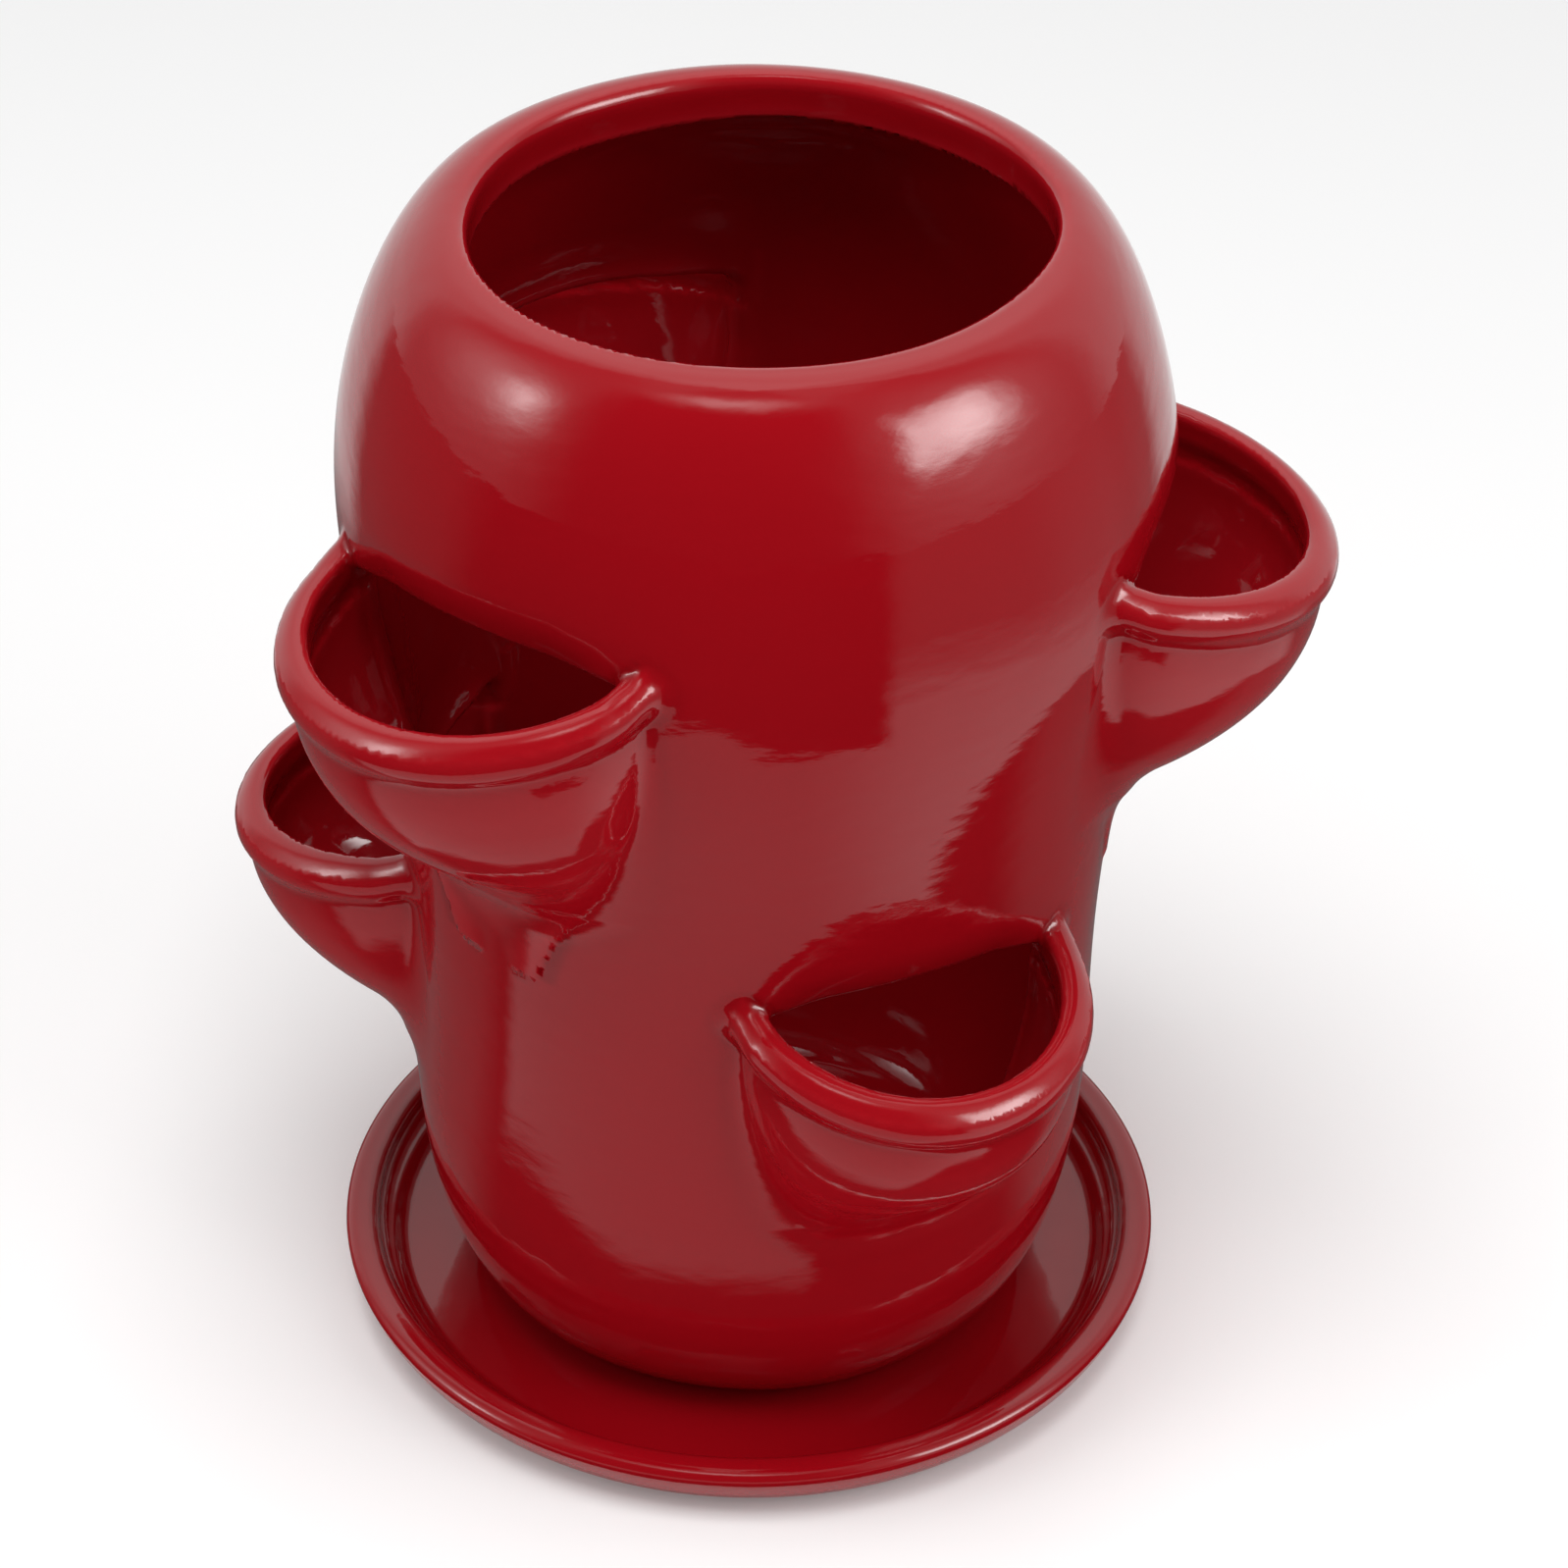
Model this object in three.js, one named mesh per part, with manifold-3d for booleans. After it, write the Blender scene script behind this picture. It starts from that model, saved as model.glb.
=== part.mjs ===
// Strawberry jar planter: a cherry-red glazed jar with a wide soft mouth and six scooped
// planting pockets in two tiers, standing in its own shallow saucer.
// Units are millimetres and +Z is up. The origin is the centre of the saucer's underside, on
// the surface that the saucer stands on, and -Y is the front of the jar.
import * as THREE from 'three';
import { mergeVertices } from 'three/addons/utils/BufferGeometryUtils.js';
import Module from 'manifold-3d';

const wasm = await Module();
wasm.setup();

// ---- Saucer ----
const SAUCER_RADIUS = 100;         // to the outer edge of the rim
const SAUCER_HEIGHT = 16;          // from the table to the crest of the rim
const SAUCER_THICKNESS = 6;        // floor and wall
const SAUCER_FLOOR_INSET = 16;     // from the outer edge in to where the floor turns up
const SAUCER_FOOT_INSET = 18;      // from the outer edge in to the flat underside
const SAUCER_FLARE = 2.2;          // how far the wall leans out as it meets the rim
const RIM_ROUNDING = 2.8;          // height of the rounded rim above its two edges
const RIM_BAND_WIDTH = 5;          // broad outer side of the rim, from its edge to its crest
const RIM_INNER_WIDTH = 3;         // steeper inner side of the rim, from its crest to the wall
const STEP_WIDTH = 3.2;            // the inside wall above its soft step, measured level
const STEP_DROP = 4;               // and measured down

// ---- Jar ----
const JAR_HEIGHT = 287;            // from its foot to the crest of the mouth
const JAR_WALL = 6;                // cast wall, the same from the base to the lip
const FOOT_RADIUS = 53;            // outer edge of the flat foot
const FOOT_WIDTH = 9;              // of the flat ring that touches the saucer
const FOOT_RECESS = 2;             // how far the base is hollowed inside that ring
const DRAIN_RADIUS = 7;            // hole through the middle of the base
const WAIST_RADIUS = 80.8;
const WAIST_HEIGHT = 69;           // where the rounded heel has become the straight waist
const SHOULDER_RADIUS = 93.6;
const SHOULDER_HEIGHT = 221;       // height of the widest girth above the foot
const MOUTH_RADIUS = 66;           // to the crest of the lip
const LIP_OVERHANG = 3.2;          // from the crest in to the upright band of the mouth
const LIP_ROUNDING = 2.2;          // how far the lip rolls down to that band's crisp edge
const LIP_BAND_HEIGHT = 8;         // of the upright band inside the mouth

// How far each end of an outline curve holds its direction, as a part of that curve's span.
const HEEL_HOLD = 0.65;
const WAIST_HOLD = 0.63;
const FLARE_HOLD = 0.24;
const DOME_RISE_HOLD = 0.5;
const DOME_TOP_HOLD = 0.53;
const SAUCER_SWEEP = 0.6;

// ---- Planting pockets ----
const POCKET_WALL = 5;
const LUTING_GAP = 0.3;            // seam between a pocket and the outside of the jar
const BEAD_HALF_WIDTH = 4;         // rolled rim, measured across the wall
const BEAD_HALF_HEIGHT = 4.5;
const ARCH_RISE = 5;               // how much the top of a window rises over its ends
const CUT_OVERRUN = 0.3;           // how far a cut runs past the surface it opens
const WINDOW_BACK_SHARE = 0.5;     // of the way from the rim's chord to the jar's axis
const UPPER_TIER = {
  rimHeight: 220,                  // height above the jar's foot where the rim meets the wall
  halfWidth: 44.4,                 // to the middle of the bead at the wall
  reach: 123.5,                    // from the jar's axis to the middle of the bead at the lip
  lipDrop: 9.5,                    // how much lower the lip is than the rim's ends
  depth: 62,                       // from the rim's ends to the bottom of the scoop
};
const LOWER_TIER = {
  rimHeight: 130,
  halfWidth: 37.7,
  reach: 117,
  lipDrop: 9,
  depth: 60,
};
// Directions are degrees from the front, turning towards +X.
const POCKETS = [
  { name: 'pocket_upper_front_left', direction: -44, tier: UPPER_TIER },
  { name: 'pocket_upper_right', direction: 85, tier: UPPER_TIER },
  { name: 'pocket_upper_back_left', direction: -148, tier: UPPER_TIER },
  { name: 'pocket_lower_front_right', direction: 27, tier: LOWER_TIER },
  { name: 'pocket_lower_back_right', direction: 147, tier: LOWER_TIER },
  { name: 'pocket_lower_left', direction: -99, tier: LOWER_TIER },
];
// The scoop closes towards its bottom: its width as a superellipse of this exponent, and its
// reach as (1 - depth^exponent)^fall. A small fan closes it just short of the full depth.
const SCOOP_WIDTH_EXPONENT = 2.3;
const SCOOP_REACH_EXPONENT = 3;
const SCOOP_REACH_FALL = 1.3;
const SCOOP_CLOSING_SHARE = 0.98;

// ---- Facets ----
const TURN_STEPS = 40;             // round the jar and the saucer
const CURVE_STEPS = 6;             // along each outline curve
const LIP_STEPS = 3;               // over a rounded lip, for each side of its crest
const COVE_STEPS = 2;              // along each short curve inside the saucer
const SCOOP_FRONT_STEPS = 16;      // round the outside half of a pocket
const SCOOP_BACK_STEPS = 5;        // round the half that lies inside the jar
const SCOOP_DEPTH_STEPS = 7;
const BEAD_STEPS = 8;

const glaze = { color: 0x93101c, roughness: 0.12, metalness: 0 };

// ---- Working with solids ----

function toSolid(geometry) {
  const bare = geometry.clone();
  bare.deleteAttribute('normal');
  bare.deleteAttribute('uv');
  const merged = mergeVertices(bare, 1e-4);
  const triangles = [];
  const index = merged.index.array;
  for (let i = 0; i < index.length; i += 3) {
    const [a, b, c] = [index[i], index[i + 1], index[i + 2]];
    if (a !== b && b !== c && c !== a) triangles.push(a, b, c);
  }
  return new wasm.Manifold(new wasm.Mesh({
    numProp: 3,
    vertProperties: merged.attributes.position.array,
    triVerts: new Uint32Array(triangles),
  }));
}

function toGeometry(solid) {
  const mesh = solid.getMesh();
  const geometry = new THREE.BufferGeometry();
  geometry.setAttribute('position', new THREE.BufferAttribute(mesh.vertProperties, 3));
  geometry.setIndex(new THREE.BufferAttribute(mesh.triVerts, 1));
  geometry.computeVertexNormals();
  return geometry;
}

function glazedMesh(name, solid) {
  const mesh = new THREE.Mesh(toGeometry(solid), new THREE.MeshStandardMaterial(glaze));
  mesh.name = name;
  return mesh;
}

// Turns an outline of (radius, height) points about +Z.
function turned(outline) {
  return new THREE.LatheGeometry(outline, TURN_STEPS).rotateX(Math.PI / 2);
}

// Skin over a stack of closed rings, bottom ring first, closed by a fan at each end.
function stackedSkin(rings) {
  const size = rings[0].length;
  const positions = rings.flat().flatMap((point) => point.toArray());
  const index = [];
  for (let level = 0; level + 1 < rings.length; level += 1) {
    for (let i = 0; i < size; i += 1) {
      const next = (i + 1) % size;
      const low = level * size;
      const high = low + size;
      index.push(low + i, low + next, high + next);
      index.push(low + i, high + next, high + i);
    }
  }
  const ends = [{ ring: rings[0], first: 0, up: false },
    { ring: rings.at(-1), first: (rings.length - 1) * size, up: true }];
  for (const { ring, first, up } of ends) {
    const middle = new THREE.Vector3();
    ring.forEach((point) => middle.addScaledVector(point, 1 / size));
    const hub = positions.length / 3;
    positions.push(...middle.toArray());
    for (let i = 0; i < size; i += 1) {
      const next = (i + 1) % size;
      index.push(hub, first + (up ? i : next), first + (up ? next : i));
    }
  }
  return indexedGeometry(positions, index);
}

// Skin over a closed chain of closed sections, such as a rolled bead.
function chainedSkin(sections) {
  const size = sections[0].length;
  const positions = sections.flat().flatMap((point) => point.toArray());
  const index = [];
  sections.forEach((_, s) => {
    const here = s * size;
    const there = ((s + 1) % sections.length) * size;
    for (let i = 0; i < size; i += 1) {
      const next = (i + 1) % size;
      index.push(here + i, there + i, there + next);
      index.push(here + i, there + next, here + next);
    }
  });
  return indexedGeometry(positions, index);
}

function indexedGeometry(positions, index) {
  const geometry = new THREE.BufferGeometry();
  geometry.setAttribute('position', new THREE.Float32BufferAttribute(positions, 3));
  geometry.setIndex(index);
  return geometry;
}

// ---- Jar ----

function point(radius, height) {
  return new THREE.Vector2(radius, height);
}

// The outside of the jar from the edge of its foot to the crest of the mouth.
function jarCurves() {
  const heelSpread = WAIST_RADIUS - FOOT_RADIUS;
  const flareHeight = SHOULDER_HEIGHT - WAIST_HEIGHT;
  const domeHeight = JAR_HEIGHT - SHOULDER_HEIGHT;
  const domeSpread = SHOULDER_RADIUS - MOUTH_RADIUS;
  return [
    new THREE.CubicBezierCurve(
      point(FOOT_RADIUS, 0),
      point(FOOT_RADIUS + HEEL_HOLD * heelSpread, 0),
      point(WAIST_RADIUS, (1 - HEEL_HOLD) * WAIST_HEIGHT),
      point(WAIST_RADIUS, WAIST_HEIGHT),
    ),
    new THREE.CubicBezierCurve(
      point(WAIST_RADIUS, WAIST_HEIGHT),
      point(WAIST_RADIUS, WAIST_HEIGHT + WAIST_HOLD * flareHeight),
      point(SHOULDER_RADIUS, SHOULDER_HEIGHT - FLARE_HOLD * flareHeight),
      point(SHOULDER_RADIUS, SHOULDER_HEIGHT),
    ),
    new THREE.CubicBezierCurve(
      point(SHOULDER_RADIUS, SHOULDER_HEIGHT),
      point(SHOULDER_RADIUS, SHOULDER_HEIGHT + DOME_RISE_HOLD * domeHeight),
      point(MOUTH_RADIUS + DOME_TOP_HOLD * domeSpread, JAR_HEIGHT),
      point(MOUTH_RADIUS, JAR_HEIGHT),
    ),
  ];
}

// The outside outline moved by a distance along its normal, outwards when positive.
function jarOutline(offset) {
  const outline = [];
  jarCurves().forEach((curve, order) => {
    for (let step = order === 0 ? 0 : 1; step <= CURVE_STEPS; step += 1) {
      const t = step / CURVE_STEPS;
      const along = curve.getTangent(t);
      outline.push(curve.getPoint(t).add(point(along.y, -along.x).multiplyScalar(offset)));
    }
  });
  return outline;
}

// Radius of the jar's outside at a height above its foot.
function jarRadiusAt(height) {
  const outline = jarOutline(0);
  const above = Math.max(1, outline.findIndex((p) => p.y >= height));
  const [low, high] = [outline[above - 1], outline[above]];
  return THREE.MathUtils.mapLinear(height, low.y, high.y, low.x, high.x);
}

// Everything inside the jar's outer skin, grown by a gap: it trims what is luted to the jar.
function jarEnvelope(gap) {
  return toSolid(turned([point(0, -gap), ...jarOutline(gap), point(0, JAR_HEIGHT + gap)]));
}

// The whole vessel, with its six planting windows cut through the wall.
function jarVessel() {
  const bandRadius = MOUTH_RADIUS - LIP_OVERHANG;
  const bandTop = JAR_HEIGHT - LIP_ROUNDING;
  const lip = new THREE.EllipseCurve(
    MOUTH_RADIUS, bandTop, LIP_OVERHANG, LIP_ROUNDING, Math.PI / 2, Math.PI);
  const section = [
    point(DRAIN_RADIUS, FOOT_RECESS),
    point(FOOT_RADIUS - FOOT_WIDTH - FOOT_RECESS, FOOT_RECESS),
    point(FOOT_RADIUS - FOOT_WIDTH, 0),
    ...jarOutline(0),
    ...lip.getPoints(LIP_STEPS).slice(1),
    point(bandRadius, bandTop - LIP_BAND_HEIGHT),
    ...jarOutline(-JAR_WALL).reverse().slice(1),
    point(DRAIN_RADIUS, JAR_WALL),
    point(DRAIN_RADIUS, FOOT_RECESS),
  ];
  let vessel = toSolid(turned(section));
  for (const pocket of POCKETS) vessel = vessel.subtract(pocketHollow(pocket));
  return vessel;
}

// The vessel in four rings that meet flat to flat. The seams lie where the heel ends, halfway
// between the two tiers of windows, and halfway from the upper windows to the lip.
function jarRings() {
  const lowerWindowTop = LOWER_TIER.rimHeight + ARCH_RISE;
  const upperWindowBottom = UPPER_TIER.rimHeight - UPPER_TIER.depth;
  const upperWindowTop = UPPER_TIER.rimHeight + ARCH_RISE;
  const tops = [
    { name: 'jar_heel', top: WAIST_HEIGHT },
    { name: 'jar_waist', top: (lowerWindowTop + upperWindowBottom) / 2 },
    { name: 'jar_shoulder', top: (upperWindowTop + JAR_HEIGHT) / 2 },
  ];
  const rings = [];
  let rest = jarVessel();
  for (const { name, top } of tops) {
    const [above, below] = rest.splitByPlane([0, 0, 1], top);
    rings.push(glazedMesh(name, below));
    rest = above;
  }
  rings.push(glazedMesh('jar_mouth', rest));
  return rings;
}

// ---- Planting pockets ----

// Places a point given across the pocket, out from the jar's axis, and up.
function placed(pocket, across, out, up) {
  const turn = THREE.MathUtils.degToRad(pocket.direction);
  return new THREE.Vector3(
    across * Math.cos(turn) + out * Math.sin(turn),
    across * Math.sin(turn) - out * Math.cos(turn),
    up,
  );
}

// Distance from the axis to the chord on which the rim's two ends meet the wall.
function chordDistance(tier) {
  return Math.sqrt(jarRadiusAt(tier.rimHeight) ** 2 - tier.halfWidth ** 2);
}

// Directions round a pocket, counter-clockwise from above: the outside half, then the back.
function roundAngles() {
  const angles = [];
  for (let i = 0; i < SCOOP_FRONT_STEPS; i += 1) angles.push(-0.5 + i / SCOOP_FRONT_STEPS);
  for (let i = 0; i < SCOOP_BACK_STEPS; i += 1) angles.push(0.5 + i / SCOOP_BACK_STEPS);
  return angles.map((share) => share * Math.PI);
}

// One ring of the scoop. depthShare runs from 0 at the rim to 1 at the bottom, and thick
// is measured out from the middle of the pocket's wall.
function scoopRing(pocket, depthShare, thick, backReach, lift) {
  const { tier } = pocket;
  const chord = chordDistance(tier);
  const narrowing = (1 - depthShare ** SCOOP_WIDTH_EXPONENT) ** (1 / SCOOP_WIDTH_EXPONENT);
  const drawIn = (1 - depthShare ** SCOOP_REACH_EXPONENT) ** SCOOP_REACH_FALL;
  const halfWidth = (tier.halfWidth + thick) * narrowing;
  const reach = (tier.reach - chord + thick) * drawIn;
  const height = tier.rimHeight - (tier.depth + thick) * depthShare;
  const drop = tier.lipDrop * (1 - depthShare);
  return roundAngles().map((angle) => {
    const forward = Math.cos(angle);
    const out = chord + forward * (forward > 0 ? reach : backReach * narrowing);
    const archShare = 1 - Math.sin(angle) ** 2;
    const up = height - drop * Math.max(forward, 0) + lift * archShare;
    return placed(pocket, halfWidth * Math.sin(angle), out, up);
  });
}

function scoopRings(pocket, thick, backReach) {
  const rings = [];
  for (let step = SCOOP_DEPTH_STEPS; step >= 0; step -= 1) {
    const share = Math.sin((step / SCOOP_DEPTH_STEPS) * SCOOP_CLOSING_SHARE * Math.PI / 2);
    rings.push(scoopRing(pocket, share, thick, backReach, 0));
  }
  return rings;
}

// The space inside a pocket, carried back through the jar's wall as its planting window.
function pocketHollow(pocket) {
  const backReach = chordDistance(pocket.tier) * WINDOW_BACK_SHARE;
  const rings = scoopRings(pocket, -POCKET_WALL / 2, backReach);
  rings.push(scoopRing(pocket, 0, -POCKET_WALL / 2, backReach, ARCH_RISE)
    .map((corner) => corner.setZ(corner.z + CUT_OVERRUN)));
  return toSolid(stackedSkin(rings));
}

// The rolled rim, as a closed loop whose back half lies inside the jar.
function rimBead(pocket) {
  const sections = [];
  const rings = [];
  for (let step = 0; step < BEAD_STEPS; step += 1) {
    const angle = (step / BEAD_STEPS) * 2 * Math.PI;
    const ring = scoopRing(pocket, 0, BEAD_HALF_WIDTH * Math.cos(angle), JAR_WALL, 0);
    rings.push(ring.map((corner) => corner.setZ(corner.z + BEAD_HALF_HEIGHT * Math.sin(angle))));
  }
  for (let i = 0; i < rings[0].length; i += 1) sections.push(rings.map((ring) => ring[i]));
  return toSolid(chainedSkin(sections));
}

function plantingPocket(pocket, envelope) {
  const outside = toSolid(stackedSkin(scoopRings(pocket, POCKET_WALL / 2, JAR_WALL)));
  const cup = outside.subtract(pocketHollow(pocket)).add(rimBead(pocket)).subtract(envelope);
  return glazedMesh(pocket.name, cup);
}

// ---- Saucer ----

// The rim is broad and rolls outwards, and the inside wall has a soft step halfway down.
function saucer() {
  const rimBase = SAUCER_HEIGHT - RIM_ROUNDING;
  const footRadius = SAUCER_RADIUS - SAUCER_FOOT_INSET;
  const floorRadius = SAUCER_RADIUS - SAUCER_FLOOR_INSET;
  const crestRadius = SAUCER_RADIUS - RIM_BAND_WIDTH;
  const wallTop = point(crestRadius - RIM_INNER_WIDTH, rimBase);
  const step = point(wallTop.x - STEP_WIDTH, wallTop.y - STEP_DROP);
  const outside = new THREE.CubicBezierCurve(
    point(footRadius, 0),
    point(footRadius + SAUCER_SWEEP * SAUCER_FOOT_INSET, 0),
    point(SAUCER_RADIUS - SAUCER_FLARE, (1 - SAUCER_SWEEP) * rimBase),
    point(SAUCER_RADIUS, rimBase),
  );
  const band = new THREE.EllipseCurve(
    crestRadius, rimBase, RIM_BAND_WIDTH, RIM_ROUNDING, 0, Math.PI / 2);
  const roll = new THREE.EllipseCurve(
    crestRadius, rimBase, RIM_INNER_WIDTH, RIM_ROUNDING, Math.PI / 2, Math.PI);
  const wall = new THREE.QuadraticBezierCurve(wallTop, point(wallTop.x, step.y + STEP_DROP / 2), step);
  const cove = new THREE.QuadraticBezierCurve(
    step,
    point(floorRadius + SAUCER_SWEEP * (step.x - floorRadius), SAUCER_THICKNESS),
    point(floorRadius, SAUCER_THICKNESS),
  );
  const section = [
    point(0, 0),
    ...outside.getPoints(CURVE_STEPS),
    ...band.getPoints(LIP_STEPS).slice(1),
    ...roll.getPoints(LIP_STEPS).slice(1),
    ...wall.getPoints(COVE_STEPS).slice(1),
    ...cove.getPoints(COVE_STEPS).slice(1),
    point(0, SAUCER_THICKNESS),
  ];
  return glazedMesh('saucer', toSolid(turned(section)));
}

// ---- Assembly ----

const planter = new THREE.Group();
planter.add(saucer());

const jar = new THREE.Group();
jar.position.z = SAUCER_THICKNESS;
jar.add(...jarRings());
const envelope = jarEnvelope(LUTING_GAP);
for (const pocket of POCKETS) jar.add(plantingPocket(pocket, envelope));
planter.add(jar);

export default planter;
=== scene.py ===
"""Strawberry jar planter: a cherry-red glazed jar with six scooped planting pockets, standing
in its own saucer on a pale studio floor. Metres, +Z up, -Y is the front."""
import math

import bpy
import numpy as np
from mathutils import Matrix, Vector


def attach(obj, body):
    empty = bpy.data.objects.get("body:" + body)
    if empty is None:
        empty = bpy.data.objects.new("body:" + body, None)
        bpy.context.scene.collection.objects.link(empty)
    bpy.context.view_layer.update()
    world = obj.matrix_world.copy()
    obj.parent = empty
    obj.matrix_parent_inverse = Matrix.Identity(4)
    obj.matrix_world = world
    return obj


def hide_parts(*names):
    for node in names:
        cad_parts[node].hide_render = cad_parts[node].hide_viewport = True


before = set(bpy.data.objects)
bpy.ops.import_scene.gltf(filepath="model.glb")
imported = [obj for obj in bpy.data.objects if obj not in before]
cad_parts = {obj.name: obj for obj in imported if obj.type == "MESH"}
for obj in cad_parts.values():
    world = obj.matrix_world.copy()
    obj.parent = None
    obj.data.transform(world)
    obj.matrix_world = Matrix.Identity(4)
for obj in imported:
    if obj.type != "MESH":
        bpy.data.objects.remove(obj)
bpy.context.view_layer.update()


# ---- Camera ----
# A long lens above and in front of the jar, turned down so that the open mouth and the
# insides of the pockets show.
PHOTO_SIDE = 1598
CAMERA_BACK, CAMERA_HEIGHT = 0.88508, 0.78327
CAMERA_YAW, CAMERA_PITCH, CAMERA_ROLL = 0.0080, 0.6272, 0.0151
LENS_PIXELS = 4779.7

forward = Vector((
    math.sin(CAMERA_YAW) * math.cos(CAMERA_PITCH),
    math.cos(CAMERA_YAW) * math.cos(CAMERA_PITCH),
    -math.sin(CAMERA_PITCH),
))
level_right = Vector((math.cos(CAMERA_YAW), -math.sin(CAMERA_YAW), 0))
level_up = level_right.cross(forward)
right = level_right * math.cos(CAMERA_ROLL) + level_up * math.sin(CAMERA_ROLL)
up = level_up * math.cos(CAMERA_ROLL) - level_right * math.sin(CAMERA_ROLL)

lens = bpy.data.cameras.new("camera")
lens.sensor_width = 36
lens.lens = LENS_PIXELS * lens.sensor_width / PHOTO_SIDE
lens.clip_start, lens.clip_end = 0.05, 30
camera = bpy.data.objects.new("camera", lens)
camera.matrix_world = Matrix.LocRotScale(
    Vector((0, -CAMERA_BACK, CAMERA_HEIGHT)),
    Matrix((right, up, -forward)).transposed().to_quaternion(),
    None,
)
bpy.context.scene.collection.objects.link(camera)
bpy.context.scene.camera = camera
bpy.context.scene.view_settings.view_transform = "Standard"


# ---- Jar ----
# One cast earthenware vessel, glazed and fired whole. The six scooped pockets are luted over
# windows in its wall while the clay is wet, each with a rolled rim whose two ends die into the
# wall. Sizes are in millimetres, and heights are above the jar's own foot.
FOOT_OVER_TABLE = 6.0              # the foot stands on the saucer's floor
JAR_HEIGHT, WALL = 287.0, 6.0
FOOT_RADIUS, FOOT_WIDTH, FOOT_RECESS, DRAIN_RADIUS = 53.0, 9.0, 2.0, 7.0
FOOT_ROUNDING, DRAIN_ROUNDING = 1.5, 2.0
WAIST_RADIUS, WAIST_HEIGHT = 80.8, 69.0
SHOULDER_RADIUS, SHOULDER_HEIGHT = 93.6, 221.0
MOUTH_RADIUS = 66.0                # to the crest of the lip
MOUTH_FROM = 240.0                 # the mouth's own forms start at this height
MOUTH_BAND_RADIUS, MOUTH_BAND_ROUNDING = 62.8, 2.2
LIP_THICKENING = 3.0               # inwards, over the last stretch of the wall
LIP_STRETCH_START, LIP_STRETCH_END = 16.0, 2.0  # outside the crest

# How far each end of an outline curve holds its direction, as a part of that curve's span.
HEEL_HOLD, WAIST_HOLD, FLARE_HOLD = 0.65, 0.63, 0.24
DOME_RISE_HOLD, DOME_TOP_HOLD = 0.5, 0.53

# A pocket: the height of its rim's ends, half its width at the wall, its reach from the jar's
# axis, how much lower the lip is than the ends, its depth, and how its rim tilts.
UPPER = dict(rim=220.0, width=44.4, reach=123.5, drop=9.5, depth=62.0, tilt=0.0)
LOWER = dict(rim=130.0, width=37.7, reach=117.0, drop=9.0, depth=60.0, tilt=0.0)
# Each one's direction in degrees from the front, towards +X. Luted on by hand, no two that
# show from the front sit quite alike.
POCKETS = [
    (-43.6, UPPER | dict(rim=218.5, reach=120.1, drop=8.2, tilt=0.09)),
    (85.3, UPPER | dict(rim=218.0, reach=125.0, drop=8.6, tilt=-0.05)),
    (-148, UPPER),
    (27.1, LOWER | dict(rim=129.0, reach=112.0, drop=8.5, tilt=-0.04)),
    (147, LOWER),
    (-98.9, LOWER | dict(rim=129.5, reach=119.0, drop=10.0, tilt=-0.05)),
]
POCKET_WALL, POCKET_THINNING = 5.0, 0.6
WIDTH_EXPONENT, REACH_EXPONENT, REACH_FALL = 2.3, 3, 1.3
BEAD_HALF_WIDTH, BEAD_HALF_HEIGHT, BEAD_TILT = 4.1, 4.7, math.radians(22)
BEAD_OVERHANG = 0.7                # how far the bead stands out from the middle of the wall
BEAD_INSIDE, BEAD_INSIDE_ROUNDING = 2.6, 0.9  # where its inner side is wiped flat
BEAD_SUNK, BEAD_TAIL = 1.0, 6.0    # how far its ends run into the jar's wall and behind the chord
KNUCKLE_RISE, KNUCKLE_LENGTH = 1.2, 9.0  # the rim lifts a little where it meets the wall
ARCH_RISE = 5.0                    # how much the top of a window rises over its ends
PRESSED_IN, PRESSED_OVER = 5.0, 16.0  # how far the wall leans in above a window, and how high up
CUT_REACH = 30.0                   # how far inside the wall a window's cut ends
CREASE_INSIDE, CREASE_BESIDE, FILLET_UNDER = 0.5, 2.5, 11.0
EDGE_ROUNDING = 3.0                # of a window's top, and of the cut edge at the pocket's rim
GROOVE_INSIDE, GROOVE_OUTSIDE = 2.0, 1.8  # the soft joint between bead and bowl
CELL = 1.5  # of the grid that the skin is drawn from
GRID_LOW, GRID_HIGH = np.array([-127.0, -119.0, 2.0]), np.array([133.0, 125.0, 298.0])


def bezier(p0, p1, p2, p3, steps):
    t = np.linspace(0, 1, steps)[:, None]
    p0, p1, p2, p3 = map(np.array, (p0, p1, p2, p3))
    return ((1 - t) ** 3 * p0 + 3 * t * (1 - t) ** 2 * p1
            + 3 * t * t * (1 - t) * p2 + t ** 3 * p3)


def evenly(line, gap):
    """The same line with a point at each gap along it."""
    run = np.concatenate(([0], np.cumsum(np.hypot(*np.diff(line, axis=0).T))))
    at = np.linspace(0, run[-1], int(run[-1] / gap) + 1)
    return np.stack([np.interp(at, run, line[:, 0]), np.interp(at, run, line[:, 1])], 1)


def directions_along(line):
    """The line's unit direction at each of its points."""
    along = np.gradient(line, axis=0)
    return along / np.hypot(*along.T)[:, None]


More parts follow.
